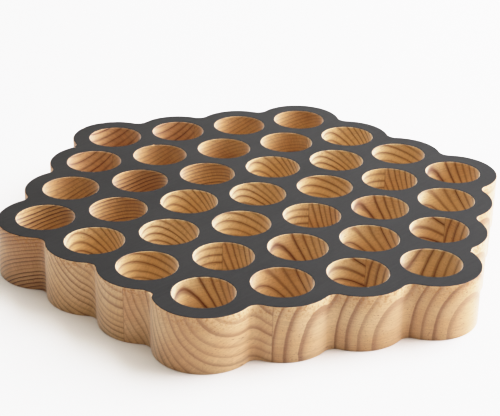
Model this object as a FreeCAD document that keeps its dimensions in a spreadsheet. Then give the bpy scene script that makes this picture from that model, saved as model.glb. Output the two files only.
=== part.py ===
"""Marble solitaire board, 37 sockets.

A flat six-sided board of five edge-glued softwood staves. The glued panel is routed to a scalloped
outline that follows the border sockets, bored with blind flat-bottomed sockets on a triangular
lattice, and painted on its top face only. Nothing on it moves.

Frame: origin at the middle of the underside, +Z up, +X from corner to corner of the six sides.
Millimetres.
"""
import FreeCAD, Part
import math
import os

import Sketcher

Vector = FreeCAD.Vector

SIZES = {
    "pitch": 32.0,             # socket to socket, along a row and between rows
    "bore_diameter": 25.0,     # takes marbles of 22 to 24 mm with room for a fingertip
    "bore_depth": 14.0,        # below the painted face, a little over half a marble
    "board_thickness": 24.6,   # underside to painted face
    "coat_thickness": 0.2,     # several rolled coats of paint
    "lobe_radius": 20.7,       # outline round each border socket
    "neck_radius": 4.8,        # hollow between two lobes, the router cutter's own radius
    "stave_width": 52.0,       # sawn and planed, before the outline trims the outer two
    "stave_length": 250.0,     # sawn, before the outline trims it
    "first_joint": 81.0,       # stave 1's lower edge, measured across the grain from the middle
    "grain_angle": 30.0,       # fibres, turned from +X towards +Y
    "rout_radius": 190.0,      # waste cleared round the outline, well past the sawn staves
}
SIDE = 4                       # sockets along each side of the board
STAVES = 5
ROW_RISE = math.sqrt(3) / 2    # row to row, in pitches

ORIGIN = -1                    # how a sketch numbers its own origin
START, END, CENTRE = 1, 2, 3   # and the points of a line, a circle or an arc


def make_sheet(doc):
    """The driving dimensions, one named cell each."""
    sheet = doc.addObject("Spreadsheet::Sheet", "Sizes")
    for row, (alias, value) in enumerate(SIZES.items(), start=1):
        sheet.set(f"A{row}", alias)
        sheet.set(f"B{row}", str(value))
        sheet.setAlias(f"B{row}", alias)
    return sheet


def lattice():
    """Socket centres as (x, y) in pitches and rows: seven rows, longest in the middle."""
    reach = SIDE - 1
    for row in range(-reach, reach + 1):
        last = (2 * reach - abs(row)) / 2
        count = 2 * SIDE - 1 - abs(row)
        for column in range(count):
            yield column - last, row


def border():
    """The border sockets of the lattice, counter-clockwise, corner by corner."""
    reach = SIDE - 1
    corners = [(reach, 0), (reach / 2, reach), (-reach / 2, reach)]
    corners += [(-x, -y) for x, y in corners]
    for start, end in zip(corners, corners[1:] + corners[:1]):
        for step in range(reach):
            part = step / reach
            yield start[0] + (end[0] - start[0]) * part, start[1] + (end[1] - start[1]) * part


def at(point, pitch):
    """A lattice point as a vector in millimetres."""
    return Vector(point[0] * pitch, point[1] * ROW_RISE * pitch, 0)


def plan_sketch(body, name):
    """A new sketch on the body's own XY plane."""
    sketch = body.newObject("Sketcher::SketchObject", name)
    plane = next(f for f in body.Origin.OriginFeatures if f.Role == "XY_Plane")
    sketch.AttachmentSupport = [(plane, "")]
    sketch.MapMode = "FlatFace"
    return sketch


def constrain(sketch, rules):
    """Adds constraints together. A rule is one constraint, or a pair with the sheet's expression."""
    rules = [rule if isinstance(rule, tuple) else (rule, None) for rule in rules]
    first = sketch.ConstraintCount
    sketch.addConstraint([constraint for constraint, expression in rules])
    for index, (constraint, expression) in enumerate(rules, start=first):
        if expression:
            sketch.setExpression(f"Constraints[{index}]", expression)


def centre_rules(shape, point, pitch):
    """What holds a circle's or an arc's centre on a lattice point."""
    place = at(point, pitch)
    across = Sketcher.Constraint("DistanceX", ORIGIN, START, shape, CENTRE, place.x)
    along = Sketcher.Constraint("DistanceY", ORIGIN, START, shape, CENTRE, place.y)
    return [
        (across, f"Sizes.pitch * {point[0]}"),
        (along, f"Sizes.pitch * sqrt(3) / 2 * {point[1]}"),
    ]


def arc(centre, radius, begin, end):
    """An arc about centre, counter-clockwise between the directions of two points."""
    angles = [math.atan2(p.y - centre.y, p.x - centre.x) for p in (begin, end)]
    return Part.ArcOfCircle(Part.Circle(centre, Vector(0, 0, 1), radius), *angles)


def add_outline(sketch, sheet):
    """The routed edge: a lobe round each border socket, and a hollow between neighbours."""
    points = list(border())
    pitch, lobe, neck = sheet.pitch, sheet.lobe_radius, sheet.neck_radius
    centres = [at(point, pitch) for point in points]
    stand_off = math.sqrt((lobe + neck) ** 2 - (pitch / 2) ** 2)
    hollows = []
    for here, after in zip(centres, centres[1:] + centres[:1]):
        along = (after - here).normalize()
        hollows.append((here + after) * 0.5 + Vector(along.y, -along.x, 0) * stand_off)
    count = len(centres)
    lobes = []
    necks = []
    for i in range(count):
        lobes.append(sketch.addGeometry(arc(centres[i], lobe, hollows[i - 1], hollows[i])))
    for i in range(count):
        after = centres[(i + 1) % count]
        necks.append(sketch.addGeometry(arc(hollows[i], neck, after, centres[i])))
    rules = []
    for i in range(count):
        after = lobes[(i + 1) % count]
        rules += centre_rules(lobes[i], points[i], pitch)
        rules += [
            (Sketcher.Constraint("Radius", lobes[i], lobe), "Sizes.lobe_radius"),
            (Sketcher.Constraint("Radius", necks[i], neck), "Sizes.neck_radius"),
            Sketcher.Constraint("Tangent", lobes[i], END, necks[i], END),
            Sketcher.Constraint("Tangent", necks[i], START, after, START),
        ]
    constrain(sketch, rules)


def add_bores(sketch, sheet, points):
    """One circle for each socket."""
    rules = []
    for point in points:
        circle = Part.Circle(at(point, sheet.pitch), Vector(0, 0, 1), sheet.bore_diameter / 2)
        shape = sketch.addGeometry(circle)
        size = Sketcher.Constraint("Diameter", shape, sheet.bore_diameter)
        rules += centre_rules(shape, point, sheet.pitch)
        rules.append((size, "Sizes.bore_diameter"))
    constrain(sketch, rules)


def raise_to_top(sketch):
    """Lifts a sketch to the wood's top face, under the paint."""
    sketch.setExpression("AttachmentOffset.Base.z", "Sizes.board_thickness - Sizes.coat_thickness")


def saw_stave(body, number, sheet):
    """The planed stave: a straight length of softwood that lies along the grain."""
    sketch = plan_sketch(body, "Sawn")
    sketch.setExpression("AttachmentOffset.Rotation.Angle", "Sizes.grain_angle")
    half = sheet.stave_length / 2
    lower = sheet.first_joint - (number - 1) * sheet.stave_width
    upper = lower + sheet.stave_width
    corners = [(-half, lower), (half, lower), (half, upper), (-half, upper)]
    corners = [Vector(x, y, 0) for x, y in corners]
    front, right, back, left = [
        sketch.addGeometry(Part.LineSegment(begin, finish))
        for begin, finish in zip(corners, corners[1:] + corners[:1])
    ]
    constraint = Sketcher.Constraint
    constrain(sketch, [
        constraint("Coincident", front, END, right, START),
        constraint("Coincident", right, END, back, START),
        constraint("Coincident", back, END, left, START),
        constraint("Coincident", left, END, front, START),
        constraint("Horizontal", front),
        constraint("Horizontal", back),
        constraint("Vertical", right),
        constraint("Vertical", left),
        (constraint("DistanceX", ORIGIN, START, front, END, half), "Sizes.stave_length / 2"),
        (constraint("DistanceX", front, START, front, END, 2 * half), "Sizes.stave_length"),
        (constraint("DistanceY", ORIGIN, START, front, END, lower),
         f"Sizes.first_joint - Sizes.stave_width * {number - 1}"),
        (constraint("DistanceY", right, START, right, END, upper - lower), "Sizes.stave_width"),
    ])
    pad = body.newObject("PartDesign::Pad", "Planed")
    pad.Profile = sketch
    pad.setExpression("Length", "Sizes.board_thickness - Sizes.coat_thickness")
    return pad


def rout_outline(body, sheet):
    """Clears everything outside the scalloped outline, from the underside up."""
    sketch = plan_sketch(body, "Outline")
    waste = sketch.addGeometry(Part.Circle(Vector(), Vector(0, 0, 1), sheet.rout_radius))
    constrain(sketch, [
        Sketcher.Constraint("Coincident", waste, CENTRE, ORIGIN, START),
        (Sketcher.Constraint("Radius", waste, sheet.rout_radius), "Sizes.rout_radius"),
    ])
    add_outline(sketch, sheet)
    pocket = body.newObject("PartDesign::Pocket", "Routed")
    pocket.Profile = sketch
    pocket.Type = "Length"
    pocket.setExpression("Length", "Sizes.board_thickness")
    pocket.Reversed = True
    return pocket


def bore_sockets(body, sheet, points):
    """Blind sockets, down from the wood's top face."""
    sketch = plan_sketch(body, "Sockets")
    raise_to_top(sketch)
    add_bores(sketch, sheet, points)
    pocket = body.newObject("PartDesign::Pocket", "Bored")
    pocket.Profile = sketch
    pocket.Type = "Length"
    pocket.setExpression("Length", "Sizes.bore_depth - Sizes.coat_thickness")
    return pocket


def sockets_in(number, sheet):
    """The sockets that reach into a stave, those on its glue joints included."""
    angle = math.radians(sheet.grain_angle)
    middle = sheet.first_joint - (number - 1.5) * sheet.stave_width
    reach = (sheet.stave_width + sheet.bore_diameter) / 2
    for point in lattice():
        centre = at(point, sheet.pitch)
        across = centre.y * math.cos(angle) - centre.x * math.sin(angle)
        if abs(across - middle) < reach:
            yield point


def make_stave(doc, number, sheet):
    """One stave, in the order that it is worked: planed, glued and routed, then bored."""
    body = doc.addObject("PartDesign::Body", f"Stave{number}")
    body.Label = f"stave_{number}"
    planed = saw_stave(body, number, sheet)
    doc.recompute()
    routed = rout_outline(body, sheet)
    doc.recompute()
    bored = bore_sockets(body, sheet, sockets_in(number, sheet))
    doc.recompute()
    if not planed.Shape.Volume > routed.Shape.Volume > bored.Shape.Volume:
        raise RuntimeError(f"{body.Label}: a pocket cuts nothing")
    return body


def make_top_coat(doc, sheet):
    """The paint on the top face: the outline, open at every socket."""
    body = doc.addObject("PartDesign::Body", "TopCoat")
    body.Label = "top_coat"
    sketch = plan_sketch(body, "Painted")
    raise_to_top(sketch)
    add_outline(sketch, sheet)
    add_bores(sketch, sheet, lattice())
    pad = body.newObject("PartDesign::Pad", "Coat")
    pad.Profile = sketch
    pad.setExpression("Length", "Sizes.coat_thickness")
    doc.recompute()
    return body


def check(doc, parts):
    """Stops at any object that failed to build, and any sub-part that isn't one good solid."""
    for item in doc.Objects:
        if {"Invalid", "Error"} & set(item.State):
            raise RuntimeError(f"{item.Name} is {item.State}")
    for part in parts:
        if part.Shape.isNull() or not part.Shape.isValid() or len(part.Shape.Solids) != 1:
            raise RuntimeError(f"{part.Label} isn't one valid solid")


def main():
    doc = FreeCAD.newDocument("SolitaireBoard")
    sheet = make_sheet(doc)
    doc.recompute()
    parts = [make_stave(doc, number, sheet) for number in range(1, STAVES + 1)]
    parts.append(make_top_coat(doc, sheet))
    check(doc, parts)
    os.makedirs("parts", exist_ok=True)
    for part in parts:
        part.Shape.exportStep(f"parts/{part.Label}.step")
        print(part.Label, round(part.Shape.Volume / 1000, 2), "cm3", part.Shape.BoundBox)


main()
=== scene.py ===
import math

import bmesh
import bpy
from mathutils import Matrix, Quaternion, Vector, noise


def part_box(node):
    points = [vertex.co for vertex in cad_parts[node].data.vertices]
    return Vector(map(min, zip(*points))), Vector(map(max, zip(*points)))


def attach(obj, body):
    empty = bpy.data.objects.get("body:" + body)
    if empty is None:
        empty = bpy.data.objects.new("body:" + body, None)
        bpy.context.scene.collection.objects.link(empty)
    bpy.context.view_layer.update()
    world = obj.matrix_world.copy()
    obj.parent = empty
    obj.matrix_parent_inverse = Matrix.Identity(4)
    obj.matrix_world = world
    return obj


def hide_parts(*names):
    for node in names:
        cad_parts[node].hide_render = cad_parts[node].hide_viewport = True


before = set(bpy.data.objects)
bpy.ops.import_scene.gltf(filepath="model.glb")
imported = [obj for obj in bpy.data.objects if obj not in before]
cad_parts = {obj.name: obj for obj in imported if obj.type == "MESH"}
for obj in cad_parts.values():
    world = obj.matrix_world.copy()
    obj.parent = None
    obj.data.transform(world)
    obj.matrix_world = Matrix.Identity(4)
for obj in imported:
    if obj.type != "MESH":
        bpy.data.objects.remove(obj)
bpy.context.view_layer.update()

# --------------------------------------------------------------------------- camera and studio
# A long lens a little above the table, aimed over the board's near left corner. The studio has white
# walls and a seamless pale sweep, lit by a big softbox at the right, a weaker one overhead and a
# small one far behind, which lays a soft reflection on the paint.
MM = 0.001
VIEW_FROM = Vector((-168.0, -520.4, 271.1)) * MM
VIEW_TURN, VIEW_DOWN, VIEW_ROLL = (math.radians(a) for a in (17.53, 24.90, 1.12))
LENS, SENSOR = 95.8, 36.0

sight = Vector((
    math.sin(VIEW_TURN) * math.cos(VIEW_DOWN),
    math.cos(VIEW_TURN) * math.cos(VIEW_DOWN),
    -math.sin(VIEW_DOWN),
))
camera = bpy.data.objects.new("camera", bpy.data.cameras.new("camera"))
camera.data.lens = LENS
camera.data.sensor_width = SENSOR
camera.location = VIEW_FROM
camera.rotation_mode = "QUATERNION"
camera.rotation_quaternion = sight.to_track_quat("-Z", "Y") @ Quaternion((0, 0, 1), VIEW_ROLL)
bpy.context.scene.collection.objects.link(camera)
bpy.context.scene.camera = camera

# The camera's own tone curve, from scene light to display light: a gentle S that holds the whites.
TONES = [(0, 0), (0.03, 0.011), (0.074, 0.036), (0.176, 0.12), (0.3, 0.232), (0.44, 0.365), (0.67, 0.55),
         (1.0, 0.75), (1.37, 0.865), (1.8, 0.92), (2.4, 0.95)]
BRIGHTEST = TONES[-1][0]
look = bpy.context.scene.view_settings
look.view_transform = "Standard"
look.use_curve_mapping = True
look.curve_mapping.white_level = (BRIGHTEST,) * 3
curve = look.curve_mapping.curves[3]
curve.points[0].location = TONES[0]
curve.points[1].location = (1, TONES[-1][1])
for light_in, light_out in TONES[1:-1]:
    curve.points.new(light_in / BRIGHTEST, light_out)
look.curve_mapping.update()


def add(tree, kind, inputs=None, **settings):
    """Adds a shader node, gives it its settings, and fills its inputs with values or links."""
    node = tree.nodes.new("ShaderNode" + kind)
    for name, value in settings.items():
        setattr(node, name, value)
    for socket, value in (inputs or {}).items():
        if isinstance(value, bpy.types.NodeSocket):
            tree.links.new(value, node.inputs[socket])
        else:
            node.inputs[socket].default_value = value
    return node


def linear(hex_colour):
    """An sRGB hex colour as the linear RGBA that the nodes work in."""
    levels = [int(hex_colour[i:i + 2], 16) / 255 for i in (1, 3, 5)]
    return (*[c / 12.92 if c <= 0.04045 else ((c + 0.055) / 1.055) ** 2.4 for c in levels], 1.0)


def softbox(name, at, size, power, colour=(1, 1, 1)):
    """A square studio light that points at the board's middle."""
    lamp = bpy.data.objects.new(name, bpy.data.lights.new(name, "AREA"))
    lamp.data.size = size
    lamp.data.energy = power
    lamp.data.color = colour
    lamp.location = at
    lamp.rotation_mode = "QUATERNION"
    lamp.rotation_quaternion = (-Vector(at)).to_track_quat("-Z", "Y")
    bpy.context.scene.collection.objects.link(lamp)


DAYLIGHT = (0.98, 0.995, 1.09)            # a shade cooler than the walls' bounce
softbox("key_softbox", at=(1.08, 0.06, 0.88), size=1.5, power=70.0, colour=DAYLIGHT)
softbox("overhead_softbox", at=(0.1, 0.15, 1.3), size=1.4, power=16.0)
softbox("back_softbox", at=(0.65, 1.6, 0.45), size=0.7, power=7.0)

# White walls: they bounce a slightly warm light, more of it from behind the board than from in front
# of it. Seen directly they are plain white.
BOUNCE_FRONT, BOUNCE_BACK, PLAIN_WHITE = 0.4, 0.85, 1.95
world = bpy.data.worlds.new("white_studio")
bpy.context.scene.world = world
world.use_nodes = True
tree = world.node_tree
walls = tree.nodes["Background"]
toward = add(tree, "SeparateXYZ", {"Vector": add(tree, "TexCoord").outputs["Generated"]})
bounce = add(tree, "MapRange", {"Value": toward.outputs["Y"], "From Min": -0.1, "From Max": 0.9,
                                "To Min": BOUNCE_FRONT, "To Max": BOUNCE_BACK})
direct = add(tree, "LightPath").outputs["Is Camera Ray"]
glow = add(tree, "Mix", {"Factor": direct, "A": bounce.outputs["Result"], "B": PLAIN_WHITE})
tree.links.new(glow.outputs["Result"], walls.inputs["Strength"])
warmth = add(tree, "Mix", {"Factor": direct, "A": linear("#fff6e6"), "B": linear("#ffffff")},
             data_type="RGBA")
tree.links.new(warmth.outputs["Result"], walls.inputs["Color"])

# Matt white card, one flat sheet of it: a very faint mottle of paper fibre and no gloss at all, so the
# board's shadow lies on it soft and even.
SWEEP_HALF = 4.0
SWEEP_DROP = 0.02 * MM                    # a hair lower, so that the two flat faces don't coincide
PAPER_MOTTLE = 3 * MM
sweep_mesh = bpy.data.meshes.new("sweep")
sweep_mesh.from_pydata(
    [(x * SWEEP_HALF, y * SWEEP_HALF, 0) for x, y in ((-1, -1), (1, -1), (1, 1), (-1, 1))],
    [], [(0, 1, 2, 3)])
sweep = bpy.data.objects.new("sweep", sweep_mesh)
bpy.context.scene.collection.objects.link(sweep)
sweep.location.z = -SWEEP_DROP
card = bpy.data.materials.new("matt_white_card")
card.use_nodes = True
tree = card.node_tree
shader = tree.nodes["Principled BSDF"]
place = add(tree, "TexCoord").outputs["Object"]
mottle = add(tree, "TexNoise", {"Vector": place, "Scale": 1 / PAPER_MOTTLE, "Detail": 3.0})
tone = add(tree, "MapRange", {"Value": mottle.outputs["Fac"], "To Min": 0.985, "To Max": 1.0})
white = add(tree, "Mix", {"A": linear("#e4e2df"), "B": linear("#ebe9e6"),
                          "Factor": tone.outputs["Result"]}, data_type="RGBA")
shader.inputs["Roughness"].default_value = 0.9
tree.links.new(white.outputs["Result"], shader.inputs["Base Color"])
sweep_mesh.materials.append(card)

# --------------------------------------------------------------------------- glued panel
# Five planed softwood staves, glued edge to edge, then routed to a scalloped outline and bored
# with blind sockets. The whole panel is drawn once, and sawn back into its staves along the glue.
PITCH = 32 * MM                           # from socket to socket
BORE = 12.5 * MM
BORE_FLOOR = 10.6 * MM
LOBE, NECK = 20.7 * MM, 4.8 * MM          # radii of the edge's lobes and of the hollows between
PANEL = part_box("stave_3")[1].z            # bare wood, under the paint
STAVE, FIRST_JOINT = 52 * MM, 81 * MM     # a stave's width, and how far back the first joint lies
GRAIN = math.radians(30)                  # the staves' direction, from the rows of sockets
ARRIS = 0.25 * MM                         # sandpaper's easing of every sharp edge
ARRIS_STEPS = 3
SIDE = 4                                  # sockets along each side of the hexagon
ROUND = 96                                # straight edges round a socket
BEND = math.radians(5)                    # turn from point to point along the outline
LEVEL = 0.99                              # faces as level as this are shaded flat
CRISP = math.radians(35)                  # edges as sharp as this stay crisp
fibre = Vector((math.cos(GRAIN), math.sin(GRAIN), 0))
across = Vector((-math.sin(GRAIN), math.cos(GRAIN), 0))


def lattice():
    """Socket centres in metres: seven rows on a triangular lattice."""
    reach = SIDE - 1
    for row in range(-reach, reach + 1):
        count = 2 * SIDE - 1 - abs(row)
        for column in range(count):
            yield Vector(((column - (count - 1) / 2) * PITCH, row * PITCH * math.sqrt(3) / 2))


def border():
    """The border sockets, counter-clockwise from the +X corner."""
    reach = (SIDE - 1) * PITCH
    corners = [Vector((math.cos(a), math.sin(a))) * reach
               for a in (math.radians(60 * k) for k in range(6))]
    for k in range(6):
        for step in range(SIDE - 1):
            yield corners[k].lerp(corners[(k + 1) % 6], step / (SIDE - 1))


def arc(centre, radius, begin, end, turn):
    """Points of an arc from one direction to another, left out at its far end."""
    span = (end - begin) % (2 * math.pi) if turn > 0 else -((begin - end) % (2 * math.pi))
    count = max(4, round(abs(span) / BEND))
    for i in range(count):
        angle = begin + span * i / count
        yield centre + Vector((math.cos(angle), math.sin(angle))) * radius


def outline(inset=0.0):
    """The routed edge, moved inwards by inset: lobes round the border sockets, hollows between."""
    centres = list(border())
    stand_off = math.sqrt((LOBE + NECK) ** 2 - (PITCH / 2) ** 2)
    hollows = []
    for here, after in zip(centres, centres[1:] + centres[:1]):
        along = (after - here).normalized()
        hollows.append((here + after) / 2 + Vector((along.y, -along.x)) * stand_off)
    points = []
    for i, here in enumerate(centres):
        after = centres[(i + 1) % len(centres)]
        lobe_ends = [math.atan2(p.y - here.y, p.x - here.x) for p in (hollows[i - 1], hollows[i])]
        points += arc(here, LOBE - inset, *lobe_ends, 1)
        neck_ends = [math.atan2(p.y - hollows[i].y, p.x - hollows[i].x) for p in (here, after)]
        points += arc(hollows[i], NECK + inset, *neck_ends, -1)
    return points


def circle(centre, radius):
    """Points of a circle, counter-clockwise."""
    for i in range(ROUND):
        angle = 2 * math.pi * i / ROUND
        yield centre + Vector((math.cos(angle), math.sin(angle))) * radius


def add_loop(mesh, points, height):
    """A ring of vertices at one height."""
    return [mesh.verts.new((p.x, p.y, height)) for p in points]


def skin(mesh, rings):
    """Walls between rings of equal length, one above the other, first to last."""
    for low, high in zip(rings, rings[1:]):
        for i in range(len(low)):
            after = (i + 1) % len(low)
            mesh.faces.new((low[i], low[after], high[after], high[i]))


def cap(mesh, rings, upwards):
    """A flat face that fills the first ring and leaves the others open."""
    edges = [mesh.edges.get((ring[i - 1], ring[i])) or mesh.edges.new((ring[i - 1], ring[i]))
             for ring in rings for i in range(len(ring))]
    bmesh.ops.triangle_fill(mesh, use_beauty=True, edges=edges, normal=(0, 0, 1 if upwards else -1))


def arris_steps():
    """Height and inset of each step round an eased quarter-round edge."""
    for i in range(ARRIS_STEPS + 1):
        angle = math.pi / 2 * i / ARRIS_STEPS
        yield ARRIS * (1 - math.cos(angle)), ARRIS * (1 - math.sin(angle))


def draw_panel():
    """The bored and routed panel as one closed mesh."""
    mesh = bmesh.new()
    low = [(height, inset) for height, inset in arris_steps()]
    high = [(PANEL - height, inset) for height, inset in reversed(low)]
    rings = [add_loop(mesh, outline(inset), height) for height, inset in low + high]
    skin(mesh, rings)
    cap(mesh, rings[:1], upwards=False)
    mouths = [rings[-1]]
    for centre in lattice():
        down = [(PANEL - height, BORE + inset) for height, inset in low]
        down.append((BORE_FLOOR, BORE))
        wall = [add_loop(mesh, circle(centre, radius), height) for height, radius in reversed(down)]
        skin(mesh, [list(reversed(ring)) for ring in wall])
        mesh.faces.new(wall[0])
        mouths.append(wall[-1])
    cap(mesh, mouths, upwards=True)
    bmesh.ops.recalc_face_normals(mesh, faces=mesh.faces)
    return mesh


def saw(mesh, joint, keep_above):
    """Cuts the mesh along a glue joint, keeps one side and closes the cut."""
    whole = list(mesh.verts) + list(mesh.edges) + list(mesh.faces)
    cut = bmesh.ops.bisect_plane(mesh, geom=whole, plane_co=across * joint, plane_no=across,
                                 clear_inner=keep_above, clear_outer=not keep_above)
    edges = [part for part in cut["geom_cut"] if isinstance(part, bmesh.types.BMEdge)]
    bmesh.ops.triangle_fill(mesh, use_beauty=False, edges=edges, normal=across)


def finish_mesh(mesh, name):
    """Stores a mesh as an object, smooth round its curved walls and crisp at its edges."""
    bmesh.ops.recalc_face_normals(mesh, faces=mesh.faces)
    for face in mesh.faces:
        face.smooth = abs(face.normal.z) < LEVEL
    data = bpy.data.meshes.new(name)
    mesh.to_mesh(data)
    mesh.free()
    data.set_sharp_from_angle(angle=CRISP)
    piece = bpy.data.objects.new(name, data)
    bpy.context.scene.collection.objects.link(piece)
    return piece


# Each stave's own growth: where the tree's heart lay, in mm across the grain and up; the years
# counted off at distances from it in mm, which spaces the rings; the colours of its springwood, its
# summerwood and its drifts of tint; and how boldly rings show on a sanded and on a bored face. fade
# is where they pale, in mm from the heart, and narrow thins them on a bored face.
STAVES = {
    "stave_1": dict(heart=(181, 104), rings=[(60, 0), (240, 66)],
                    spring="#c69d76", summer="#5e3019", tint="#b38760", lines=(0.9, 1.1)),
    "stave_2": dict(heart=(25, -33), rings=[(0, -17), (28.5, 0), (66.5, 23), (120, 53)],
                    spring="#c6a074", summer="#461d0e", tint="#b48a60", lines=(1.0, 1.2),
                    fade=(57, 64), narrow=0.15),
    "stave_3": dict(heart=(-25, 57.5), rings=[(0, -10), (36.2, 0), (47, 3), (66.6, 11), (120, 33)],
                    spring="#d5b690", summer="#774d22", tint="#cba77b", lines=(0.72, 1.0)),
    "stave_4": dict(heart=(-83, 35.2), rings=[(0, -4), (17.3, 0), (29.8, 3), (53.4, 10), (63, 14), (90, 26)],
                    spring="#d3b48d", summer="#70421c", tint="#c9a279", lines=(0.58, 1.1)),
    "stave_5": dict(heart=(-149, 2.4), rings=[(0, -9), (32.3, 0.05), (48.3, 4.05), (64.3, 8.1), (90, 15.3)],
                    spring="#cfb08a", summer="#6a3c1a", tint="#c49e75", lines=(0.8, 1.1)),
}

# How the cutters left it: sanding rubbed the edge smooth and a little pink, which softens the rings;
# the drill left the sockets' walls more golden, with crisp rings and a pale fuzz of cut fibre ends.
FINISHES = [dict(label="sanded", stain=(0.99, 0.94, 0.92), fuzz=0.3),
            dict(label="bored", stain=(1.02, 1.055, 1.0), fuzz=0.8)]

# Sizes in the wood, in mm. Where there are three, they are along the grain and twice across it.
WANDER, WANDER_BY = (90, 28, 28), 1.8     # the trunk was never quite straight or round
WAVER, WAVER_BY = (16, 3.2, 3.2), 0.4     # each ring is a little uneven too
FIBRE = (9, 0.42, 0.42)                   # ten times as coarse as real, so that it shows at all
RAYS_PER_RADIAN, RAYS_PER_MM = 130.0, 0.16
CANAL = (3, 0.45, 0.45)                   # resin canals, twice as wide as real
TUFT = 1.1                                # torn and soaked fibres
SOAKED_ABOVE, SOAKED_SHOWS = 17.0, 0.75   # the height where they begin, and how strongly they show
GLUE_CORE, GLUE_RIM = 0.08, 0.32          # half-widths of the glue line
HARD_PROUD = 0.06                         # how far fibres and hard rings stand proud
# Any steps that give each stave patterns and years of its own.
PATTERNS_APART, YEARS_APART = 17.3, 40
FIRST_SEASON = 0.12
NO_FADE = (500, 600)                      # beyond every ring
FADE_SLANT = 0.15                         # the fade moves in by this much along the grain


def softwood(name, number, finish, heart, rings, spring, summer, tint, lines,
             fade=NO_FADE, narrow=0.9):
    """Oiled softwood, sanded or bored, its rings drawn right through the wood about the heart.

    To the eye: warm honey springwood, dull where it drank the oil, with hard brown summerwood
    lines that gleam a little, fine fibres, faint rays, and a dry fuzz where a cutter went through.
    """
    material = bpy.data.materials.new(name)
    material.use_nodes = True
    tree = material.node_tree
    shader = tree.nodes["Principled BSDF"]
    turned = add(tree, "VectorRotate", {
        "Vector": add(tree, "TexCoord").outputs["Object"], "Angle": -GRAIN}, rotation_type="Z_AXIS")
    in_mm = add(tree, "VectorMath", {
        0: turned.outputs["Vector"], 1: (1 / MM, 1 / MM, 1 / MM)}, operation="MULTIPLY")
    wood = in_mm.outputs["Vector"]

    # the rings drift by up to a millimetre over a hand's width, and waver by less over a finger's
    slow = add(tree, "VectorMath", {0: wood, 1: [1 / mm for mm in WANDER]}, operation="MULTIPLY")
    own = add(tree, "VectorMath", {0: slow.outputs["Vector"], 1: (PATTERNS_APART * number,) * 3})
    drift = add(tree, "TexNoise", {"Vector": own.outputs["Vector"], "Scale": 1.0, "Detail": 1.5})
    drift_mm = add(tree, "VectorMath", {0: drift.outputs["Color"], 1: (-0.5,) * 3})
    drift_mm = add(tree, "VectorMath", {0: drift_mm.outputs["Vector"], 1: (0, WANDER_BY, WANDER_BY)},
                   operation="MULTIPLY")
    quick = add(tree, "VectorMath", {0: wood, 1: [1 / mm for mm in WAVER]}, operation="MULTIPLY")
    waver = add(tree, "TexNoise", {"Vector": quick.outputs["Vector"], "Scale": 1.0, "Detail": 2.0})
    waver_mm = add(tree, "VectorMath", {0: waver.outputs["Color"], 1: (-0.5,) * 3})
    waver_mm = add(tree, "VectorMath", {0: waver_mm.outputs["Vector"], 1: (0, WAVER_BY, WAVER_BY)},
                   operation="MULTIPLY")
    moved = add(tree, "VectorMath", {0: wood, 1: drift_mm.outputs["Vector"]})
    moved = add(tree, "VectorMath", {0: moved.outputs["Vector"], 1: waver_mm.outputs["Vector"]})
    from_heart = add(tree, "VectorMath", {0: moved.outputs["Vector"], 1: (0, -heart[0], -heart[1])})
    flat = add(tree, "VectorMath", {0: from_heart.outputs["Vector"], 1: (0, 1, 1)},
               operation="MULTIPLY")
    radius = add(tree, "VectorMath", {0: flat.outputs["Vector"]}, operation="LENGTH").outputs["Value"]

    # years of wide and of narrow rings, one straight stretch for each spell of growth
    year = None
    for (near, first), (far, last) in zip(rings, rings[1:]):
        spell = add(tree, "MapRange", {
            "Value": radius, "From Min": near, "From Max": far, "To Min": 0.0,
            "To Max": last - first}, clamp=True).outputs["Result"]
        year = spell if year is None else add(
            tree, "Math", {0: year, 1: spell}, operation="ADD").outputs["Value"]
    year = add(tree, "Math", {0: year, 1: FIRST_SEASON + YEARS_APART * number},
               operation="ADD").outputs["Value"]
    season = add(tree, "Math", {0: year}, operation="FRACT").outputs["Value"]
    which = add(tree, "Math", {0: year}, operation="FLOOR").outputs["Value"]
    chance = add(tree, "TexWhiteNoise", {"W": which}, noise_dimensions="1D")
    hard_year = add(tree, "SeparateColor", {"Color": chance.outputs["Color"]})

    # springwood darkens slowly into summerwood, which ends at once where the next year begins
    late = add(tree, "MapRange", {"Value": hard_year.outputs["Red"], "To Min": 1.25 + narrow * finish,
                                  "To Max": 0.75 + narrow * finish})
    season = add(tree, "Math", {0: season, 1: late.outputs["Result"]}, operation="POWER").outputs["Value"]
    band = add(tree, "ValToRGB", {"Fac": season})
    ramp = band.color_ramp
    ramp.elements[0].position, ramp.elements[0].color = 0.0, (0.7, 0.7, 0.7, 1)
    ramp.elements[1].position, ramp.elements[1].color = 1.0, (1, 1, 1, 1)
    for spot, level in ((0.05, 0.05), (0.36, 0.0), (0.58, 0.14), (0.74, 0.45), (0.86, 0.95)):
        ramp.elements.new(spot).color = (level, level, level, 1)
    strength = add(tree, "MapRange", {"Value": hard_year.outputs["Green"], "To Min": 0.4 * lines[finish],
                                      "To Max": lines[finish]})
    along_mm = add(tree, "SeparateXYZ", {"Vector": wood}).outputs["X"]
    outwards = add(tree, "Math", {0: along_mm, 1: FADE_SLANT, 2: radius}, operation="MULTIPLY_ADD")
    fading = add(tree, "MapRange", {"Value": outwards.outputs["Value"], "From Min": fade[0],
                                    "From Max": fade[1], "To Min": 1.0, "To Max": 0.4})
    strength = add(tree, "Math", {0: strength.outputs["Result"], 1: fading.outputs["Result"]},
                   operation="MULTIPLY")
    summerwood = add(tree, "Math", {0: band.outputs["Color"], 1: strength.outputs["Value"]},
                     operation="MULTIPLY").outputs["Value"]

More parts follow.
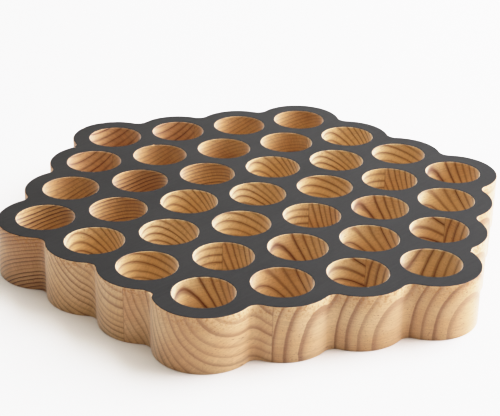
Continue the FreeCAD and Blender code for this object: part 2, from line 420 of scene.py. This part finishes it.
    # broad drifts of tint, then fibres: specks on end grain, streaks along the sides
    broad = add(tree, "TexNoise", {"Vector": own.outputs["Vector"], "Scale": 1.6, "Detail": 2.0})
    shade = add(tree, "MapRange", {"Value": broad.outputs["Fac"], "From Min": 0.35, "From Max": 0.65})
    spring_tone = add(tree, "Mix", {"Factor": shade.outputs["Result"], "A": linear(spring),
                                    "B": linear(tint)}, data_type="RGBA")
    ring_tone = add(tree, "Mix", {"Factor": summerwood, "A": spring_tone.outputs["Result"],
                                  "B": linear(summer)}, data_type="RGBA")
    thread = add(tree, "VectorMath", {0: wood, 1: [1 / mm for mm in FIBRE]}, operation="MULTIPLY")
    fibres = add(tree, "TexNoise", {"Vector": thread.outputs["Vector"], "Scale": 1.0, "Detail": 3.0,
                                    "Roughness": 0.6}).outputs["Fac"]

    # rays run out from the heart across the rings and show as faint fine lines on end grain
    parts = add(tree, "SeparateXYZ", {"Vector": flat.outputs["Vector"]})
    angle = add(tree, "Math", {0: parts.outputs["Y"], 1: parts.outputs["Z"]}, operation="ARCTAN2")
    round_heart = add(tree, "Math", {0: angle.outputs["Value"], 1: RAYS_PER_RADIAN},
                      operation="MULTIPLY")
    out_from_heart = add(tree, "Math", {0: radius, 1: RAYS_PER_MM}, operation="MULTIPLY")
    ray_place = add(tree, "CombineXYZ", {"X": round_heart.outputs["Value"],
                                         "Y": out_from_heart.outputs["Value"]})
    rays = add(tree, "TexNoise", {"Vector": ray_place.outputs["Vector"], "Scale": 1.0, "Detail": 2.0},
               noise_dimensions="2D").outputs["Fac"]
    grain = add(tree, "Math", {0: fibres, 1: rays}, operation="ADD").outputs["Value"]
    grain_level = add(tree, "MapRange", {"Value": grain, "From Min": 0.65, "From Max": 1.35,
                                         "To Min": 0.84, "To Max": 1.14}).outputs["Result"]

    # end grain drinks more oil than side grain and ends up darker
    facing = add(tree, "VectorMath", {0: add(tree, "NewGeometry").outputs["Normal"],
                                      1: tuple(fibre)}, operation="DOT_PRODUCT").outputs["Value"]
    end_grain = add(tree, "Math", {0: facing}, operation="ABSOLUTE").outputs["Value"]
    oiled = add(tree, "MapRange", {"Value": end_grain, "To Min": 1.12, "To Max": 0.9}).outputs["Result"]
    level = add(tree, "Math", {0: grain_level, 1: oiled}, operation="MULTIPLY").outputs["Value"]
    toned = add(tree, "VectorMath", {0: ring_tone.outputs["Result"], "Scale": level},
                operation="SCALE").outputs["Vector"]
    stained = add(tree, "VectorMath", {0: toned, 1: FINISHES[finish]["stain"]}, operation="MULTIPLY")

    # torn fibres close under the painted face soaked up more oil: golden specks along the top edge
    high = add(tree, "SeparateXYZ", {"Vector": wood}).outputs["Z"]
    edge = add(tree, "MapRange", {"Value": high, "From Min": SOAKED_ABOVE, "From Max": PANEL / MM,
                                  "To Max": 1.0 - 0.5 * finish})
    specks = add(tree, "TexNoise", {"Vector": wood, "Scale": 1 / TUFT, "Detail": 3.0, "Roughness": 0.7})
    torn = add(tree, "MapRange", {"Value": specks.outputs["Fac"], "From Min": 0.5, "From Max": 0.62})
    soaked = add(tree, "Math", {0: edge.outputs["Result"], 1: torn.outputs["Result"]},
                 operation="MULTIPLY")
    soaked = add(tree, "Math", {0: soaked.outputs["Value"], 1: SOAKED_SHOWS}, operation="MULTIPLY")
    golden = add(tree, "Mix", {"Factor": soaked.outputs["Value"], "A": stained.outputs["Vector"],
                               "B": linear("#a06a2c")}, data_type="RGBA")

    # resin canals: dark dots on end grain, short dashes along the sides
    canal = add(tree, "VectorMath", {0: wood, 1: [1 / mm for mm in CANAL]}, operation="MULTIPLY")
    canals = add(tree, "TexNoise", {"Vector": canal.outputs["Vector"], "Scale": 1.0, "Detail": 1.0})
    resin = add(tree, "MapRange", {"Value": canals.outputs["Fac"], "From Min": 0.66, "From Max": 0.76,
                                   "To Max": 0.6})
    dotted = add(tree, "Mix", {"Factor": resin.outputs["Result"], "A": golden.outputs["Result"],
                               "B": linear("#5e3413")}, data_type="RGBA")

    # the set glue shows as a thin, faint brown line at each joint
    across_mm = add(tree, "SeparateXYZ", {"Vector": wood}).outputs["Y"]
    to_joint = add(tree, "Math", {0: across_mm, 1: -FIRST_JOINT / MM}, operation="ADD").outputs["Value"]
    to_joint = add(tree, "Math", {0: to_joint, 1: STAVE / MM}, operation="PINGPONG").outputs["Value"]
    near_joint = add(tree, "Math", {0: to_joint, 1: STAVE / MM / 2}, operation="PINGPONG").outputs["Value"]
    glue = add(tree, "MapRange", {"Value": near_joint, "From Min": GLUE_CORE, "From Max": GLUE_RIM,
                                  "To Min": 0.3, "To Max": 0.0}).outputs["Result"]
    colour = add(tree, "Mix", {"Factor": glue, "A": dotted.outputs["Result"], "B": linear("#6a4424")},
                 data_type="RGBA")
    tree.links.new(colour.outputs["Result"], shader.inputs["Base Color"])

    gloss = add(tree, "MapRange", {"Value": summerwood, "To Min": 0.56, "To Max": 0.44}).outputs["Result"]
    tree.links.new(gloss, shader.inputs["Roughness"])
    relief = add(tree, "Math", {0: grain, 1: summerwood}, operation="ADD").outputs["Value"]
    bump = add(tree, "Bump", {"Height": relief, "Distance": HARD_PROUD * MM, "Strength": 0.5})
    tree.links.new(bump.outputs["Normal"], shader.inputs["Normal"])
    shader.inputs["IOR"].default_value = 1.5
    shader.inputs["Sheen Weight"].default_value = FINISHES[finish]["fuzz"]
    shader.inputs["Sheen Roughness"].default_value = 0.5
    return material


def is_bored(spot):
    """Whether a point on the panel is on a socket's wall, floor or eased mouth."""
    return any((centre - spot.to_2d()).length < BORE + ARRIS for centre in lattice())


for number, (name, growth) in enumerate(STAVES.items(), start=1):
    panel = draw_panel()
    lower = FIRST_JOINT - (number - 1) * STAVE
    if number > 1:
        saw(panel, lower + STAVE, keep_above=False)
    if number < len(STAVES):
        saw(panel, lower, keep_above=True)
    piece = finish_mesh(panel, name.replace("_", "_wood_"))
    for finish, facts in enumerate(FINISHES):
        label = facts["label"] + f"_oiled_softwood_{number}"
        piece.data.materials.append(softwood(label, number, finish, **growth))
    for face in piece.data.polygons:
        face.material_index = int(is_bored(face.center))
    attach(piece, "root")
    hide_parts(name)

# --------------------------------------------------------------------------- paint film
# Matt charcoal paint, rolled on the top face in a few coats before the edge was last sanded. It is
# a fifth of a millimetre thick, and its rim is slightly ragged where the cutter tore the fibres.
FILM_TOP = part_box("top_coat")[1].z
FILM_EDGE = 0.12 * MM                     # the rim is rounded over by this much
FILM_START = ARRIS * 0.6                  # the paint begins part way round the eased edge
WEAR, LEAST_WEAR = 0.10, 0.02             # how far its rim is worn back, in mm
WEAR_PER_MM, CHIPS_PER_MM = 0.9, 0.55     # how often the wear varies, and the chips
CHIP_DEPTH = 4.0
CHIPS_APART = Vector((7, 3, 1))           # any step that takes chips and wear from different noise
CALM_EDGE, CALM_SOCKET = 0.52, 0.6        # a higher number leaves fewer chips
TORN_AT = Vector((-68.4, -79.2, 0))       # the one big tear, in mm
TORN_LENGTH, TORN_DEPTH = 2.4, 0.9


def ragged(points, middle=None, calm=CALM_EDGE, further=0.0):
    """Pulls a rim back from the edge by a little that varies, and by more at a few chips."""
    points = list(points)
    for i, p in enumerate(points):
        before, after = points[i - 1], points[(i + 1) % len(points)]
        along = (after - before).normalized()
        inward = Vector((-along.y, along.x))
        if middle is not None:
            inward = (p - middle).normalized()
        spot = Vector((p.x, p.y, 0)) / MM
        worn = WEAR + WEAR * noise.noise(spot * WEAR_PER_MM)
        chip = max(0.0, noise.noise(spot * CHIPS_PER_MM + CHIPS_APART) - calm) * CHIP_DEPTH
        tear = TORN_DEPTH * max(0.0, 1.0 - (spot - TORN_AT).length / TORN_LENGTH)
        yield p + inward * (max(LEAST_WEAR, worn + chip + tear) * MM + further)


def draw_film():
    """The paint as one thin closed mesh, open at every socket."""
    mesh = bmesh.new()
    rim = list(ragged(outline(FILM_START)))
    shrunk = list(ragged(outline(FILM_START), further=FILM_EDGE))
    rings = [add_loop(mesh, rim, PANEL), add_loop(mesh, rim, FILM_TOP - FILM_EDGE),
             add_loop(mesh, shrunk, FILM_TOP)]
    skin(mesh, rings)
    lower, upper = [rings[0]], [rings[-1]]
    for centre in lattice():
        mouth = list(ragged(circle(centre, BORE + FILM_START), centre, CALM_SOCKET))
        wide = list(ragged(circle(centre, BORE + FILM_START), centre, CALM_SOCKET, FILM_EDGE))
        wall = [add_loop(mesh, mouth, PANEL), add_loop(mesh, mouth, FILM_TOP - FILM_EDGE),
                add_loop(mesh, wide, FILM_TOP)]
        skin(mesh, [list(reversed(ring)) for ring in wall])
        lower.append(wall[0])
        upper.append(wall[-1])
    cap(mesh, lower, upwards=False)
    cap(mesh, upper, upwards=True)
    return mesh


# Rolled matt paint, to the eye: an even, very dark grey that turns soft mid-grey against the light,
# with the roller's faint stipple and the wood's fibres showing through as fine streaks.
STREAK, STREAK_LENGTH = 1.1 * MM, 22 * MM
STIPPLE = 0.9 * MM
CLOUD = 30 * MM                           # slow changes where the coats lie thicker and thinner
STIPPLE_HIGH = 0.03 * MM
film = finish_mesh(draw_film(), "paint_film")
paint = bpy.data.materials.new("rolled_matt_charcoal_paint")
paint.use_nodes = True
tree = paint.node_tree
shader = tree.nodes["Principled BSDF"]
place = add(tree, "TexCoord").outputs["Object"]
turned = add(tree, "VectorRotate", {"Vector": place, "Angle": -GRAIN}, rotation_type="Z_AXIS")
stretched = add(tree, "VectorMath", {0: turned.outputs["Vector"],
                                     1: (1 / STREAK_LENGTH, 1 / STREAK, 1 / STREAK)},
                operation="MULTIPLY")
streaks = add(tree, "TexNoise", {"Vector": stretched.outputs["Vector"], "Scale": 1.0, "Detail": 3.0})
stipple = add(tree, "TexNoise", {"Vector": place, "Scale": 1 / STIPPLE, "Detail": 2.0})
cloud = add(tree, "TexNoise", {"Vector": place, "Scale": 1 / CLOUD, "Detail": 2.0})
blend = add(tree, "Math", {0: streaks.outputs["Fac"], 1: cloud.outputs["Fac"]}, operation="ADD")
shade = add(tree, "MapRange", {"Value": blend.outputs["Value"], "From Min": 0.7, "From Max": 1.3})
colour = add(tree, "Mix", {"Factor": shade.outputs["Result"], "A": linear("#191817"),
                           "B": linear("#21201f")}, data_type="RGBA")
tree.links.new(colour.outputs["Result"], shader.inputs["Base Color"])
gloss = add(tree, "MapRange", {"Value": stipple.outputs["Fac"], "To Min": 0.7, "To Max": 0.78})
tree.links.new(gloss.outputs["Result"], shader.inputs["Roughness"])
relief = add(tree, "Math", {0: streaks.outputs["Fac"], 1: stipple.outputs["Fac"]}, operation="ADD")
bump = add(tree, "Bump", {"Height": relief.outputs["Value"], "Distance": STIPPLE_HIGH, "Strength": 0.5})
tree.links.new(bump.outputs["Normal"], shader.inputs["Normal"])
shader.inputs["IOR"].default_value = 1.38
film.data.materials.append(paint)
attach(film, "root")
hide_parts("top_coat")
